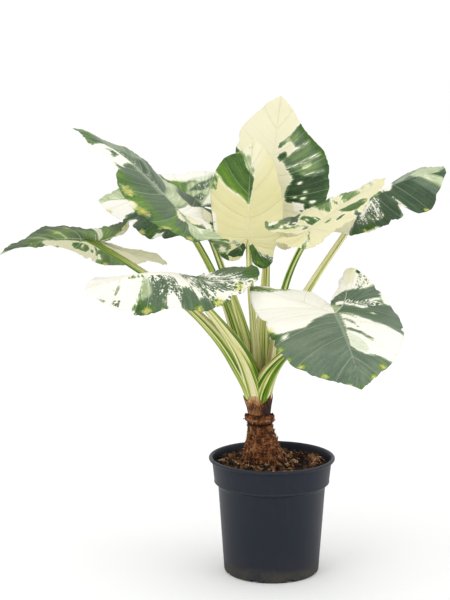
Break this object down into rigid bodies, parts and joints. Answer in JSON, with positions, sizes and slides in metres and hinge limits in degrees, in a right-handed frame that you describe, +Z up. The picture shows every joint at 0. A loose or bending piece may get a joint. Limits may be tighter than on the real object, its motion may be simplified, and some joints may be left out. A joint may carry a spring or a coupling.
{
  "type": "potted variegated giant taro",
  "caption": "Potted aroid with a short fibrous trunk, fanned striped petioles and large arrow-shaped leaves marbled green and cream, in a tapered nursery pot.",
  "frame": {"origin": "middle of the pot's underside, on the surface it stands on", "axes": "+Z up, +X to the right of the front view, +Y away from the viewer"},
  "size_m": [0.7281, 0.5589, 0.7843],
  "materials": {
    "pot_plastic": "dusty matte",
    "bark_mix": "rough bark chips",
    "trunk_fibre": "fibrous",
    "dry_sheath": "dry and papery",
    "petiole": "smooth, striped green and cream",
    "blade": "waxy, marbled green and cream",
    "young_blade": "waxy, cream with green sectors"
  },
  "bodies": {
    "root": {"blade_far_left": "blade", "blade_front_left": "blade", "blade_front_right": "blade", "blade_near_right": "blade", "blade_rear_left": "blade", "blade_rear_right": "blade", "blade_tall": "blade", "blade_upper_left": "blade", "blade_young": "young_blade", "dry_sheath_1": "dry_sheath", "dry_sheath_2": "dry_sheath", "dry_sheath_3": "dry_sheath", "petiole_far_left": "petiole", "petiole_front_left": "petiole", "petiole_front_right": "petiole", "petiole_near_right": "petiole", "petiole_rear_left": "petiole", "petiole_rear_right": "petiole", "petiole_tall": "petiole", "petiole_upper_left": "petiole", "petiole_young": "petiole", "pot": "pot_plastic", "soil": "bark_mix", "trunk": "trunk_fibre"}
  },
  "joints": []
}
